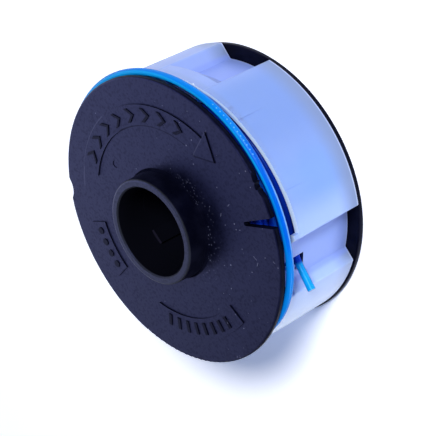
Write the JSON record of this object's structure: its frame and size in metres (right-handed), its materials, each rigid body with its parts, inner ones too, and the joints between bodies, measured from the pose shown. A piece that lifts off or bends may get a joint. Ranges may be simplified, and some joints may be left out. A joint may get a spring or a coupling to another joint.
{
  "type": "trimmer line spool",
  "caption": "Spool of nylon cutting line for a grass trimmer: black flanged spool with a hub boss, wound line and a milky pocketed collar.",
  "frame": {"origin": "centre of the rear flange's outer face, on the spool's axis", "axes": "+Z along the spool's axis towards the boss, +X through the line slot in the front flange"},
  "size_m": [0.066, 0.066, 0.0314],
  "materials": {
    "black_plastic": "fine moulded satin, faintly dusty",
    "milky_plastic": "translucent milky polypropylene, satin",
    "blue_nylon": "smooth translucent monofilament"
  },
  "bodies": {
    "root": {"spool": "black_plastic", "line_collar": "milky_plastic", "line_winding": "blue_nylon", "line_turn": "blue_nylon", "line_tail": "blue_nylon"}
  },
  "joints": []
}
